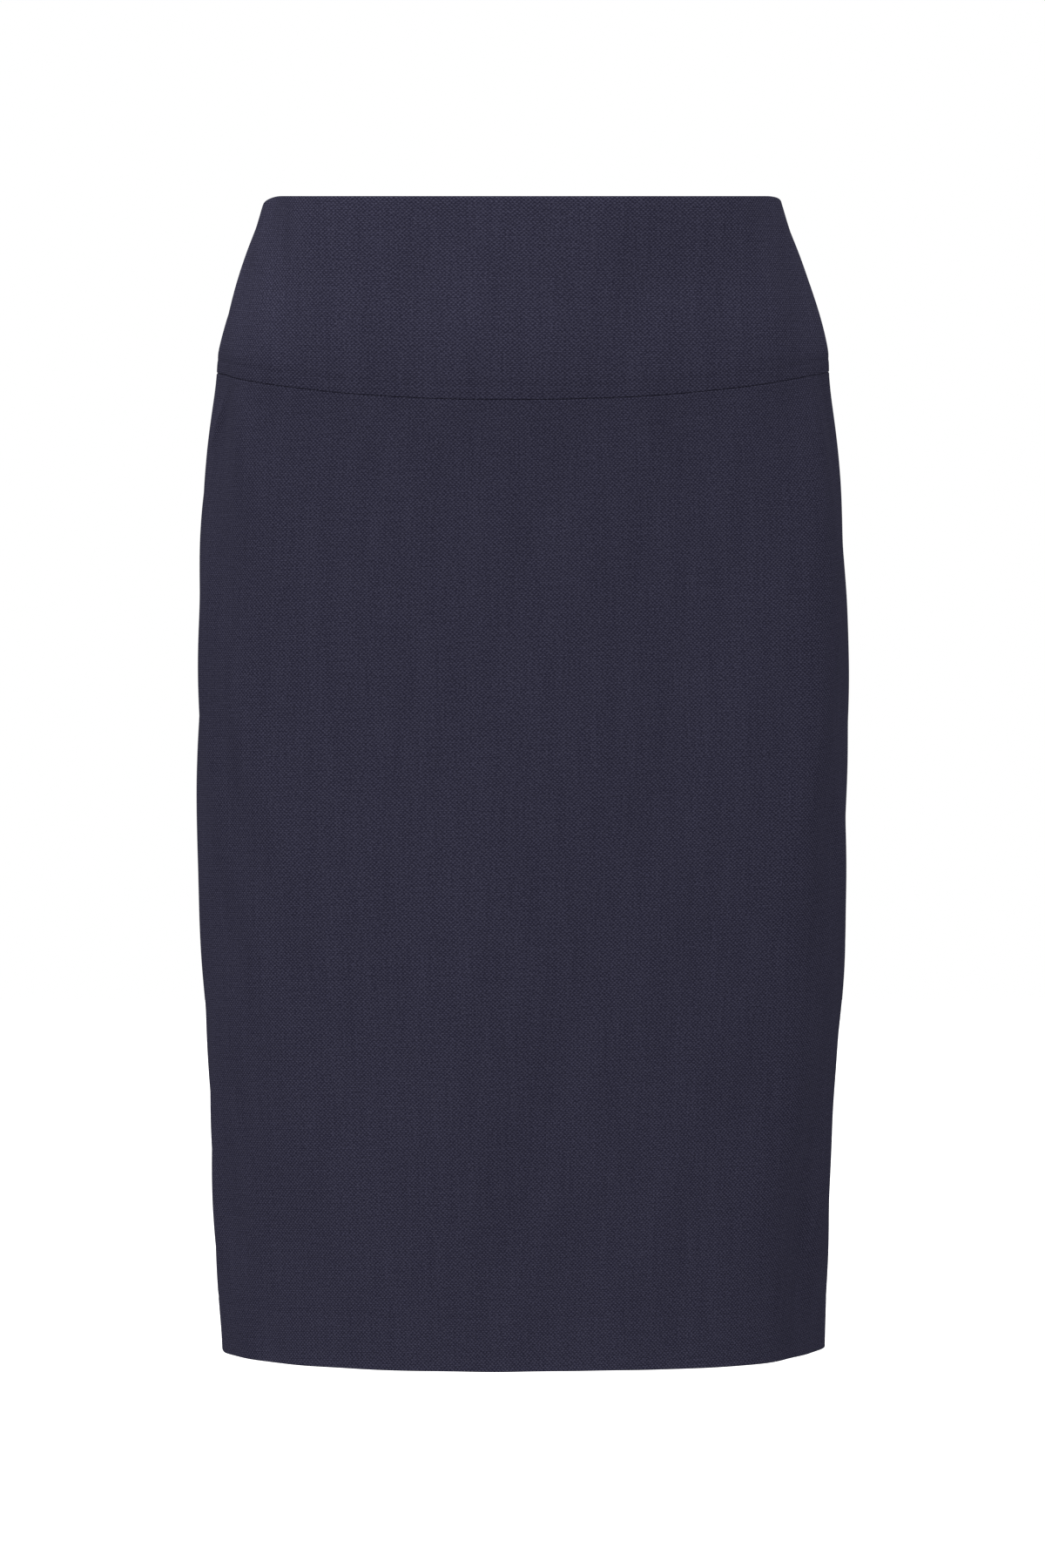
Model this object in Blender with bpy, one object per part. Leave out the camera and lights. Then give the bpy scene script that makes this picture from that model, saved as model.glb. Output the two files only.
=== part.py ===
"""A pencil skirt with a deep yoke, filled out as when worn, with no wearer in it.

Metres, +Z up. The origin is the middle of the waist opening, level with the front of the waist
edge, where the wearer holds the skirt up. The front faces -Y, and the wearer's left is +X.

Every cloth piece is a wall of even thickness on one shared shape: ovals below each other, given
by SECTIONS, with the soft folds of FOLDS raised on them. A place on the shape is its depth below
the waist and its reach, the distance along the oval from the centre front, positive round the
wearer's left and negative round the right, as far as the centre back.
"""

import functools
import math
from collections import namedtuple

import bmesh
import bpy
import numpy as np
from mathutils import Matrix, Vector

# ---- driving sizes, in metres ----

LENGTH = 0.620  # waist edge to hem, straight down
CLOTH = 0.0015  # thickness of the wall
SEAM_GAP = 0.0003  # between pieces that are sewn together

WAIST_SIDE_DROP = 0.0072  # the waist edge at the sides, below the front
WAIST_DROP_RUN = 0.036  # how far in front of the side that drop begins
WAIST_DROP_POWER = 2.2
WAIST_BACK_DROP = 0.0107  # the waist edge at the centre back, below the front
WAIST_BACK_RUN = 0.018  # behind the side, how soon it gets there

YOKE_AT_SIDE = 0.0937  # depth of the yoke seam at the side seams
YOKE_FRONT_DIP = 0.0125  # how much deeper it is at the centre front
YOKE_BACK_DIP = 0.0060  # and at the centre back
YOKE_DIP_POWER = 2.3

VENT_TOP = 0.430  # depth at which the back vent opens
UNDERLAP = 0.040  # width of the vent's underlap
UNDERLAP_SLANT = 0.015  # how much lower its top is at the far edge
UNDERLAP_GAP = 0.0006  # between the underlap and the panel that laps over it
TUCK_RUN = 0.010  # over this width the right panel steps in to pass under the left

ZIP_LENGTH = 0.185  # from the waist edge down
ZIP_START = 0.003  # the tapes' tops, below the waist edge
TAPE_FROM = 0.0010  # a tape's edges, from the centre back
TAPE_TO = 0.0130
TAPE_THICK = 0.0010
TAPE_GAP = 0.0004  # between a tape and the cloth
NOTCH = 0.0009  # half the gap at the centre back, beside the slider
NOTCH_FULL_TO = 0.019  # depth down to which it is that wide
NOTCH_GONE_AT = 0.029  # depth at which the seam is closed again

SLIDER_DEPTH = 0.0135  # the pull tab's pivot, below the front's waist edge
SLIDER_BODY = (0.0080, 0.0028, 0.0090)  # inside the skirt: width, thickness, height
SLIDER_BODY_ROUND = 0.0007  # radius on its edges
SLIDER_BODY_GAP = 0.0003  # between that body and the tapes
BRIDGE = (0.0012, 0.0050)  # the plate through the seam: width, height
BRIDGE_OUT = 0.0031  # how far it stands out of the cloth
BRIDGE_ROUND = 0.0004
PIVOT_OUT = 0.0015  # the pivot, out of the cloth
EYE_RADIUS = 0.0008  # the hole in the bridge that the pull tab's bar turns in

TAB_THICK = 0.0008
TAB_BAR = 0.0009  # height of the bar
TAB_EYE = (0.0019, 0.0034)  # the tab's own hole: width, and its end below the pivot
TAB_TOP_WIDTH = 0.0039
TAB_WIDTH = 0.0056  # at the round end
TAB_LENGTH = 0.0190  # pivot to tip
EYE_SIDES = 16
TAB_END_SIDES = 10

# ---- how finely the walls are divided ----

FRONT_COLUMNS = 40
BACK_COLUMNS = 22
YOKE_ROWS = 8
ROWS_ABOVE_VENT = 15
ROWS_IN_VENT = 9
UNDERLAP_COLUMNS = 4
TAPE_COLUMNS = 2
TAPE_ROWS = 12
SMOOTH_BELOW = math.radians(40)

# ---- the shape ----

# Each oval has a half width, and depths in front of and behind the line through both sides. The
# two squareness values are the powers of the front and back halves: 2 is a true ellipse, and a
# larger power is flatter in the middle and fuller at the corners.
Section = namedtuple("Section", "depth half_width front back front_square back_square")
SECTIONS = [
    Section(0.000, 0.1372, 0.0840, 0.0880, 2.35, 2.30),
    Section(0.035, 0.1485, 0.0945, 0.0955, 2.40, 2.30),
    Section(0.073, 0.1591, 0.1030, 0.1040, 2.50, 2.32),
    Section(0.110, 0.1664, 0.1075, 0.1125, 2.62, 2.34),
    Section(0.148, 0.1705, 0.1095, 0.1190, 2.76, 2.34),
    Section(0.204, 0.1735, 0.1100, 0.1245, 2.90, 2.32),
    Section(0.270, 0.1745, 0.1096, 0.1240, 2.96, 2.32),
    Section(0.336, 0.1739, 0.1090, 0.1190, 2.90, 2.34),
    Section(0.411, 0.1718, 0.1090, 0.1135, 2.72, 2.36),
    Section(0.486, 0.1689, 0.1094, 0.1100, 2.54, 2.36),
    Section(0.561, 0.1652, 0.1099, 0.1080, 2.38, 2.34),
    Section(0.620, 0.1618, 0.1100, 0.1072, 2.30, 2.32),
]

# A soft fold runs down the cloth between two depths. Its middle is so far across from the centre
# front or the centre back, and moves by lean times the depth. A negative height is a trough.
Fold = namedtuple("Fold", "half across top bottom width height lean")
FOLDS = [
    Fold("front", -0.030, 0.270, 0.640, 0.030, 0.0020, 0.00),
    Fold("front", 0.014, 0.370, 0.660, 0.020, -0.0015, 0.02),
    Fold("front", 0.048, 0.250, 0.640, 0.022, 0.0015, 0.15),
    Fold("front", 0.132, 0.180, 0.420, 0.026, 0.0015, 0.00),
    Fold("front", -0.160, 0.380, 0.680, 0.013, 0.0013, 0.00),
    Fold("back", 0.072, 0.240, 0.650, 0.028, 0.0022, 0.07),
    Fold("back", -0.064, 0.290, 0.680, 0.025, 0.0017, -0.05),
    Fold("back", -0.115, 0.200, 0.460, 0.030, -0.0014, -0.12),
    Fold("back", 0.128, 0.380, 0.640, 0.020, -0.0012, 0.05),
]

# How far in front of the widest place the side seams run.
SideSeam = namedtuple("SideSeam", "depth right left")
SIDE_SEAMS = [
    SideSeam(0.000, 0.000, 0.000),
    SideSeam(0.095, 0.006, 0.003),
    SideSeam(0.160, 0.006, 0.003),
    SideSeam(0.250, 0.003, 0.003),
    SideSeam(0.380, 0.003, 0.004),
    SideSeam(0.480, 0.009, 0.004),
    SideSeam(0.550, 0.017, 0.005),
    SideSeam(0.620, 0.020, 0.005),
]

RING_STEPS = 240  # points on each quarter of an oval, while it is measured
TANGENT_STEP = 0.001  # either side of a place, to find which way the cloth faces there
LEAN_STEP = 0.010  # down from the slider, to find how far the cloth leans there


def column(rows, name, depth):
    """The named column of a table at this depth, on a smooth curve through its rows."""
    depths = np.array([row.depth for row in rows])
    values = np.array([getattr(row, name) for row in rows])
    slopes = np.gradient(values, depths)
    depth = min(max(depth, depths[0]), depths[-1])
    i = min(int(np.searchsorted(depths, depth, side="right")) - 1, len(depths) - 2)
    span = depths[i + 1] - depths[i]
    t = (depth - depths[i]) / span
    return (
        values[i] * (1 + 2 * t) * (1 - t) ** 2
        + values[i + 1] * (3 - 2 * t) * t**2
        + span * (slopes[i] * t * (1 - t) ** 2 - slopes[i + 1] * (1 - t) * t**2)
    )


def smooth_step(t):
    t = min(max(t, 0.0), 1.0)
    return t * t * (3 - 2 * t)


Ring = namedtuple("Ring", "reach x y side total half_width")


@functools.lru_cache(maxsize=None)
def ring(depth):
    """The left half of the oval at this depth, from the centre front round to the centre back."""
    half_width = column(SECTIONS, "half_width", depth)
    turn = np.linspace(0, math.pi / 2, RING_STEPS)
    across, along = np.sin(turn), np.cos(turn)
    front_power = 2 / column(SECTIONS, "front_square", depth)
    back_power = 2 / column(SECTIONS, "back_square", depth)
    front_x = half_width * across**front_power
    front_y = -column(SECTIONS, "front", depth) * along.clip(0) ** front_power
    back_x = (half_width * across**back_power)[-2::-1]
    back_y = (column(SECTIONS, "back", depth) * along.clip(0) ** back_power)[-2::-1]
    x = np.concatenate([front_x, back_x])
    y = np.concatenate([front_y, back_y])
    reach = np.concatenate([[0], np.cumsum(np.hypot(np.diff(x), np.diff(y)))])
    return Ring(reach, x, y, reach[RING_STEPS - 1], reach[-1], half_width)


def wrapped(reach, depth):
    """A reach past the centre back goes on from the other side."""
    total = ring(depth).total
    return (reach + total) % (2 * total) - total


def on_oval(reach, depth):
    oval = ring(depth)
    reach = wrapped(reach, depth)
    x = np.interp(abs(reach), oval.reach, oval.x)
    y = np.interp(abs(reach), oval.reach, oval.y)
    return math.copysign(x, reach), y


def fold_height(reach, depth):
    reach = wrapped(reach, depth)
    total = ring(depth).total
    from_back = math.copysign(total, reach) - reach
    height = 0.0
    for fold in FOLDS:
        if not fold.top < depth < fold.bottom:
            continue
        middle = (fold.top + fold.bottom) / 2
        across = fold.across + fold.lean * (depth - middle)
        off = ((reach if fold.half == "front" else from_back) - across) / fold.width
        down = (depth - fold.top) / (fold.bottom - fold.top)
        height += fold.height * math.exp(-off * off / 2) * math.sin(math.pi * down) ** 2
    return height


def on_shape(reach, depth, inward=0.0):
    """The point at this place, moved inward through the cloth by so much."""
    x, y = on_oval(reach, depth)
    ahead = on_oval(reach + TANGENT_STEP, depth)
    behind = on_oval(reach - TANGENT_STEP, depth)
    tangent = Vector((ahead[0] - behind[0], ahead[1] - behind[1]))
    outward = Vector((tangent.y, -tangent.x)).normalized()
    out = fold_height(reach, depth) - inward
    return Vector((x + outward.x * out, y + outward.y * out, -depth))


# ---- the edges of the pieces ----


def waist_edge(reach):
    """Depth of the waist edge: level in front, lower at the sides and the back."""
    before_side = ring(0.0).side - abs(reach)
    if before_side < 0:
        past = 1 - math.exp(before_side / WAIST_BACK_RUN)
        return WAIST_SIDE_DROP + (WAIST_BACK_DROP - WAIST_SIDE_DROP) * past
    return WAIST_SIDE_DROP * max(1 - before_side / WAIST_DROP_RUN, 0.0) ** WAIST_DROP_POWER


def yoke_seam(reach):
    """Depth of the seam under the yoke, which dips to the centre front and the centre back."""
    x, y = on_oval(reach, YOKE_AT_SIDE)
    inside = 1 - abs(x / ring(YOKE_AT_SIDE).half_width) ** YOKE_DIP_POWER
    return YOKE_AT_SIDE + (YOKE_FRONT_DIP if y < 0 else YOKE_BACK_DIP) * inside


def right_side(depth):
    return column(SIDE_SEAMS, "right", depth) - ring(depth).side


def left_side(depth):
    return ring(depth).side - column(SIDE_SEAMS, "left", depth)


def left_back(depth):
    return ring(depth).total


def right_back(depth):
    return -ring(depth).total


def yoke_back_edge(depth):
    """Reach of the left back yoke's edge, which stands off the centre back beside the slider."""
    closed = smooth_step((depth - NOTCH_FULL_TO) / (NOTCH_GONE_AT - NOTCH_FULL_TO))
    return ring(depth).total - (NOTCH + (SEAM_GAP / 2 - NOTCH) * closed)


def tuck(reach, depth):
    """How far the right back panel steps in, to pass under the left one at the vent."""
    past = smooth_step(1 - (reach + ring(depth).total) / TUCK_RUN)
    row = (VENT_TOP - YOKE_AT_SIDE) / ROWS_ABOVE_VENT
    return (CLOTH + UNDERLAP_GAP) * past * smooth_step((depth - VENT_TOP) / row + 1)


# ---- making a wall ----


def closed_wall(name, outer, inner, keep):
    """A solid between two grids of points, over the cells of the grid that are kept."""
    mesh = bmesh.new()
    columns, rows = len(outer) - 1, len(outer[0]) - 1
    cells = {(c, r) for c in range(columns) for r in range(rows) if keep(c, r)}
    used = {(c + i, r + j) for c, r in cells for i in (0, 1) for j in (0, 1)}
    out = {at: mesh.verts.new(outer[at[0]][at[1]]) for at in sorted(used)}
    back = {at: mesh.verts.new(inner[at[0]][at[1]]) for at in sorted(used)}
    for c, r in sorted(cells):
        corners = [(c, r), (c, r + 1), (c + 1, r + 1), (c + 1, r)]
        beside = [(c - 1, r), (c, r + 1), (c + 1, r), (c, r - 1)]
        mesh.faces.new([out[at] for at in corners])
        mesh.faces.new([back[at] for at in reversed(corners)])
        for i, other in enumerate(beside):
            if other not in cells:
                a, b = corners[i], corners[(i + 1) % 4]
                mesh.faces.new([out[b], out[a], back[a], back[b]])
    return finished(name, mesh)


def finished(name, mesh):
    """A new object from a bmesh, faces outward and round places smooth."""
    bmesh.ops.recalc_face_normals(mesh, faces=mesh.faces)
    data = bpy.data.meshes.new(name)
    mesh.to_mesh(data)
    mesh.free()
    data.shade_smooth()
    data.set_sharp_from_angle(angle=SMOOTH_BELOW)
    piece = bpy.data.objects.new(name, data)
    bpy.context.collection.objects.link(piece)
    return piece


def even(start, end, count):
    return [start + (end - start) * i / count for i in range(count + 1)]


def cloth(start, end, depths_at, shares, thick=CLOTH, inward=None):
    """The outer and inner points of a wall, column by column. start and end give the reach of
    its two edges at each depth, a share says how far a column is from one to the other, and
    depths_at gives the depths of a column's points."""
    outer, inner = [], []
    for share in shares:

        def reach_at(depth, share=share):
            return start(depth) + (end(depth) - start(depth)) * share

        places = [(reach_at(depth), depth) for depth in depths_at(reach_at)]
        sunk = [inward(*place) if inward else 0.0 for place in places]
        outer.append([on_shape(*p, i) for p, i in zip(places, sunk)])
        inner.append([on_shape(*p, i + thick) for p, i in zip(places, sunk)])
    return outer, inner


def whole(column, row):
    return True


# ---- the yoke ----


def yoke_depths(reach_at):
    top, bottom = waist_edge(reach_at(0.0)), yoke_seam(reach_at(YOKE_AT_SIDE))
    return even(top, bottom - SEAM_GAP / 2, YOKE_ROWS)


def yoke(name, start, end, count):
    grids = cloth(start, end, yoke_depths, even(0, 1, count))
    return closed_wall(name, *grids, whole)


# ---- the panels below it ----


def panel_depths(reach_at):
    top = yoke_seam(reach_at(YOKE_AT_SIDE)) + SEAM_GAP / 2
    return even(top, VENT_TOP, ROWS_ABOVE_VENT) + even(VENT_TOP, LENGTH, ROWS_IN_VENT)[1:]


def panel(name, start, end, count):
    grids = cloth(start, end, panel_depths, even(0, 1, count))
    return closed_wall(name, *grids, whole)


def underlap(start):
    """The outer and inner points that carry the right back panel on past the centre back."""
    outer, inner = [], []
    for i in range(UNDERLAP_COLUMNS):
        past = UNDERLAP * (1 - i / UNDERLAP_COLUMNS)
        depths = panel_depths(start)
        depths[ROWS_ABOVE_VENT] += UNDERLAP_SLANT * past / UNDERLAP
        places = [(start(depth) - past, depth) for depth in depths]
        outer.append([on_shape(*p, tuck(*p)) for p in places])
        inner.append([on_shape(*p, tuck(*p) + CLOTH) for p in places])
    return outer, inner


def right_back_panel(name, start, end, count):
    """The right back panel, with the underlap that reaches under the left one at the vent."""

    def in_piece(column, row):
        return column >= UNDERLAP_COLUMNS or row >= ROWS_ABOVE_VENT

    outer, inner = cloth(start, end, panel_depths, even(0, 1, count), inward=tuck)
    lap_outer, lap_inner = underlap(start)
    return closed_wall(name, lap_outer + outer, lap_inner + inner, in_piece)


# ---- the concealed zip ----


def tape_depths(reach_at):
    top = waist_edge(reach_at(0.0))
    return even(top + ZIP_START, top + ZIP_LENGTH, TAPE_ROWS)


def zip_tape(name, side):
    """A strip inside the skirt, beside the centre back."""

    def beside(distance):
        return lambda depth: side * (ring(depth).total - distance)

    def behind(reach, depth):
        return CLOTH + TAPE_GAP

    start, end = beside(TAPE_TO), beside(TAPE_FROM)
    if side < 0:
        start, end = end, start
    columns = even(0, 1, TAPE_COLUMNS)
    grids = cloth(start, end, tape_depths, columns, TAPE_THICK, behind)
    return closed_wall(name, *grids, whole)


def slider_place():
    """The point on the cloth under the pull tab's pivot, and how far the cloth leans there."""
    here = on_shape(ring(SLIDER_DEPTH).total, SLIDER_DEPTH)
    lower = SLIDER_DEPTH + LEAN_STEP
    below = on_shape(ring(lower).total, lower)
    return here, math.atan2(below.y - here.y, LEAN_STEP)


def block(name, size, middle, bevel=0.0):
    mesh = bmesh.new()
    bmesh.ops.create_cube(mesh, size=1)
    bmesh.ops.scale(mesh, vec=size, verts=mesh.verts)
    bmesh.ops.translate(mesh, vec=middle, verts=mesh.verts)
    if bevel:
        bmesh.ops.bevel(
            mesh, geom=mesh.edges[:], offset=bevel, segments=2, affect="EDGES", profile=0.5
        )
    return finished(name, mesh)


def guide(piece):
    """Only shapes another piece: it is left out of the model."""
    piece.hide_render = True
    piece.display_type = "WIRE"
    return piece


def combine(piece, other, operation):
    change = piece.modifiers.new(other.name, "BOOLEAN")
    change.operation = operation
    change.object = guide(other)


def zip_slider(name):
    """A body behind the tapes, and a bridge through the seam that carries the pull tab."""
    here, lean = slider_place()
    body_out = -(CLOTH + TAPE_GAP + TAPE_THICK + SLIDER_BODY_GAP)
    body_middle = (0, body_out - SLIDER_BODY[1] / 2, 0)
    slider = block(name, SLIDER_BODY, body_middle, bevel=SLIDER_BODY_ROUND)
    inner_end = body_out - SLIDER_BODY[1] / 2
    bridge = block(
        "slider_bridge",
        (BRIDGE[0], BRIDGE_OUT - inner_end, BRIDGE[1]),
        (0, (BRIDGE_OUT + inner_end) / 2, 0),
    )
    rounding = bridge.modifiers.new("round_corners", "BEVEL")
    rounding.width = BRIDGE_ROUND
    rounding.segments = 2
    eye = bmesh.new()
    bmesh.ops.create_cone(
        eye,
        cap_ends=True,
        segments=EYE_SIDES,
        radius1=EYE_RADIUS,
        radius2=EYE_RADIUS,
        depth=2 * BRIDGE[0],
    )
    bmesh.ops.rotate(eye, matrix=Matrix.Rotation(math.pi / 2, 3, "Y"), verts=eye.verts)
    bmesh.ops.translate(eye, vec=(0, PIVOT_OUT, 0), verts=eye.verts)
    eye = finished("slider_eye", eye)
    combine(slider, bridge, "UNION")
    combine(slider, eye, "DIFFERENCE")
    for piece in (slider, bridge, eye):
        piece.location = here
        piece.rotation_euler = (lean, 0, 0)
    return slider


def tab_outline():
    """The pull tab from in front, as points across and up from its pivot."""
    end = TAB_WIDTH / 2
    centre = -(TAB_LENGTH - end)
    arc = [
        (end * math.cos(turn), centre - end * math.sin(turn))
        for turn in even(0, math.pi, TAB_END_SIDES)
    ]
    top, shoulder = TAB_BAR / 2, TAB_TOP_WIDTH / 2
    return [(-shoulder, top), (-shoulder, -TAB_EYE[1]), *reversed(arc)] + [
        (shoulder, -TAB_EYE[1]),
        (shoulder, top),
    ]


def zip_pull_tab(name):
    """Hangs from the bridge by the bar above its eye. Its origin is on the hinge's axis."""
    here, lean = slider_place()
    mesh = bmesh.new()
    half = TAB_THICK / 2
    front = mesh.faces.new([mesh.verts.new((x, half, z)) for x, z in tab_outline()])
    sides = bmesh.ops.extrude_face_region(mesh, geom=[front])
    moved = [v for v in sides["geom"] if isinstance(v, bmesh.types.BMVert)]
    bmesh.ops.translate(mesh, vec=(0, -TAB_THICK, 0), verts=moved)
    tab = finished(name, mesh)
    eye_top = -TAB_BAR / 2
    eye_height = TAB_EYE[1] + eye_top
    eye = block(
        "tab_eye",
        (TAB_EYE[0], 2 * TAB_THICK, eye_height),
        (0, 0, eye_top - eye_height / 2),
    )
    combine(tab, eye, "DIFFERENCE")
    out = Vector((0, math.cos(lean), math.sin(lean))) * PIVOT_OUT
    for piece in (tab, eye):
        piece.location = here + out
        piece.rotation_euler = (lean, 0, 0)
    return tab


# ---- materials ----


def colour(code):
    """A hex colour, as screens show it, in Blender's linear values."""
    parts = [int(code[i : i + 2], 16) / 255 for i in (1, 3, 5)]
    return [p / 12.92 if p < 0.04045 else ((p + 0.055) / 1.055) ** 2.4 for p in parts] + [1]


def dress(piece, code, roughness, metallic=0.0):
    material = bpy.data.materials.new(f"{piece.name}_finish")
    material.use_nodes = True
    shader = material.node_tree.nodes["Principled BSDF"]
    shader.inputs["Base Color"].default_value = colour(code)
    shader.inputs["Roughness"].default_value = roughness
    shader.inputs["Metallic"].default_value = metallic
    piece.data.materials.append(material)


def navy_suiting(piece):
    dress(piece, "#30303F", roughness=0.85)


def navy_tape(piece):
    dress(piece, "#23232F", roughness=0.9)


def navy_enamel(piece):
    dress(piece, "#262633", roughness=0.35, metallic=0.3)


# ---- the skirt ----


def gapped(edge, side):
    """An edge moved off its seam by half the gap."""
    return lambda depth: edge(depth) + side * SEAM_GAP / 2


def mirrored(edge):
    return lambda depth: -edge(depth)


def build():
    for old in list(bpy.data.objects):
        bpy.data.objects.remove(old, do_unlink=True)

    from_right, to_left = gapped(right_side, 1), gapped(left_side, -1)
    from_left, to_right = gapped(left_side, 1), gapped(right_side, -1)

    navy_suiting(yoke("yoke_front", from_right, to_left, FRONT_COLUMNS))
    navy_suiting(yoke("yoke_back_left", from_left, yoke_back_edge, BACK_COLUMNS))
    navy_suiting(yoke("yoke_back_right", mirrored(yoke_back_edge), to_right, BACK_COLUMNS))

    navy_suiting(panel("skirt_front", from_right, to_left, FRONT_COLUMNS))
    navy_suiting(panel("skirt_back_left", from_left, gapped(left_back, -1), BACK_COLUMNS))
    navy_suiting(
        right_back_panel("skirt_back_right", gapped(right_back, 1), to_right, BACK_COLUMNS)
    )

    navy_tape(zip_tape("zip_tape_left", 1))
    navy_tape(zip_tape("zip_tape_right", -1))
    navy_enamel(zip_slider("zip_slider"))
    navy_enamel(zip_pull_tab("zip_pull_tab"))


build()
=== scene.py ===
"""A pencil skirt in navy birdseye suiting, filled out as when worn, with no wearer in it.

Metres, in the part's own frame: +Z up, the front faces -Y and the wearer's left is +X. The
origin is the middle of the waist opening, level with the front of the waist edge.
"""

import math
from collections import namedtuple

import bpy
import numpy as np
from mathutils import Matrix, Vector


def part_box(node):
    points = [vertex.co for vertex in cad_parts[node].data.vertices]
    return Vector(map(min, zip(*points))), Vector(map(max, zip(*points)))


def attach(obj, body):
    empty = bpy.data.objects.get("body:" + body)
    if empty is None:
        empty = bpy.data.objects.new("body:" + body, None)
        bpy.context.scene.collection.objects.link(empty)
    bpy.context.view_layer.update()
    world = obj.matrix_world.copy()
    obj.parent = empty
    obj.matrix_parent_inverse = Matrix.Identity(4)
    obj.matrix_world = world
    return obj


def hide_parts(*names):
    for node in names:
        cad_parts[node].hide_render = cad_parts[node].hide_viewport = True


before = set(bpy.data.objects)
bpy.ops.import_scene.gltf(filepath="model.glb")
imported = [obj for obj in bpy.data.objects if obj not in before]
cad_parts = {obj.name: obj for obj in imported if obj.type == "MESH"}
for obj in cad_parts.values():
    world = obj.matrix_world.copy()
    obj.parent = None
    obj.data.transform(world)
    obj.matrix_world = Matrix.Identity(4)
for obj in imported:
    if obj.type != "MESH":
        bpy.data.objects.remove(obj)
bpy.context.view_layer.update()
bpy.ops.object.select_all(action="DESELECT")


# ==== Front panel ================================================================================
# The plain front of the skirt, cut in one from worsted birdseye suiting. It is seamed to the yoke
# above and to the back panels at the sides, with the seams pressed, and its hem is turned up
# inside. It hangs from the hips in long soft folds.

LENGTH = -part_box("skirt_front")[0].z  # waist edge to hem, straight down
SUITING = 0.00045  # thickness of the cloth
PRESSED = 0.00050  # outer radius of the cloth where it is folded flat
BETWEEN_LAYERS = 0.00008  # the air between two layers that lie on each other
SEAM_ALLOWANCE = 0.012
YOKE_ALLOWANCE = 0.0068  # at the seam under the yoke, where both layers are pressed up
HEM_TURN_UP = 0.028
YOKE_AT_SIDE = 0.0940  # depth of the yoke seam at the side seams
YOKE_FRONT_DIP = 0.0125  # how much deeper it is at the centre front
YOKE_BACK_DIP = 0.0060
YOKE_DIP_POWER = 2.3
YOKE_SLANT = 0.003  # how much it rises towards the wearer's left, for each metre across

# The form is a stack of ovals. Each has a half width, and depths in front of and behind the line
# through both sides. A squareness of 2 is a true ellipse, and more is fuller at the corners.
Section = namedtuple("Section", "depth half_width front back front_square back_square")
SECTIONS = [
    Section(0.000, 0.1372, 0.0840, 0.0880, 2.35, 2.30),
    Section(0.035, 0.1485, 0.0945, 0.0955, 2.40, 2.30),
    Section(0.073, 0.1591, 0.1030, 0.1040, 2.50, 2.32),
    Section(0.110, 0.1664, 0.1075, 0.1125, 2.62, 2.34),
    Section(0.148, 0.1705, 0.1095, 0.1190, 2.76, 2.34),
    Section(0.204, 0.1735, 0.1100, 0.1245, 2.90, 2.32),
    Section(0.270, 0.1745, 0.1096, 0.1240, 2.96, 2.32),
    Section(0.336, 0.1739, 0.1090, 0.1190, 2.90, 2.34),
    Section(0.411, 0.1718, 0.1090, 0.1135, 2.72, 2.36),
    Section(0.486, 0.1689, 0.1094, 0.1100, 2.54, 2.36),
    Section(0.561, 0.1652, 0.1099, 0.1080, 2.38, 2.34),
    Section(0.620, 0.1618, 0.1100, 0.1072, 2.30, 2.32),
]

# A soft fold runs down the cloth between two depths. Its middle is so far across from the centre
# front or the centre back, and moves by lean times the depth. A negative height is a trough.
Fold = namedtuple("Fold", "half across top bottom width height lean")
FOLDS = [
    Fold("front", -0.193, 0.092, 0.140, 0.0035, 0.0022, -0.72),
    Fold("front", -0.190, 0.380, 0.700, 0.008, 0.0032, 0.02),
    Fold("front", -0.174, -0.008, 0.520, 0.012, -0.0031, 0.09),
    Fold("front", -0.100, -0.055, 0.050, 0.030, 0.0012, 0.00),
    Fold("front", -0.082, 0.073, 0.413, 0.043, -0.0044, 0.22),
    Fold("front", -0.028, 0.074, 0.795, 0.022, 0.0045, -0.01),
    Fold("front", -0.007, 0.036, 0.161, 0.050, 0.0036, -0.07),
    Fold("front", 0.051, 0.255, 0.799, 0.043, -0.0045, -0.35),
    Fold("front", 0.077, 0.036, 0.332, 0.048, -0.0029, -0.02),
    Fold("front", 0.081, -0.022, 0.112, 0.024, -0.0028, -0.23),
    Fold("front", 0.082, -0.030, 0.445, 0.038, -0.0029, 0.04),
    Fold("front", 0.084, -0.055, 0.055, 0.032, 0.0040, 0.00),
    Fold("front", 0.087, 0.024, 0.558, 0.025, -0.0029, 0.03),
    Fold("front", 0.100, -0.064, 0.604, 0.036, -0.0029, 0.04),
    Fold("front", 0.163, -0.020, 0.589, 0.012, 0.0041, -0.08),
    Fold("front", 0.166, 0.412, 0.744, 0.012, -0.0044, -0.08),
    Fold("back", 0.072, 0.240, 0.650, 0.028, 0.0036, 0.07),
    Fold("back", 0.030, 0.300, 0.700, 0.022, -0.0016, 0.02),
    Fold("back", -0.064, 0.290, 0.680, 0.025, 0.0031, -0.05),
    Fold("back", -0.115, 0.200, 0.620, 0.030, -0.0028, -0.12),
    Fold("back", 0.128, 0.330, 0.640, 0.020, -0.0022, 0.05),
]

# How far in front of the widest place the side seams run.
SideSeam = namedtuple("SideSeam", "depth right left")
SIDE_SEAMS = [
    SideSeam(0.000, 0.000, 0.000),
    SideSeam(0.095, 0.006, 0.003),
    SideSeam(0.160, 0.006, 0.003),
    SideSeam(0.250, 0.003, 0.003),
    SideSeam(0.380, 0.003, 0.004),
    SideSeam(0.480, 0.009, 0.004),
    SideSeam(0.550, 0.017, 0.005),
    SideSeam(0.620, 0.020, 0.005),
]

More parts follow.
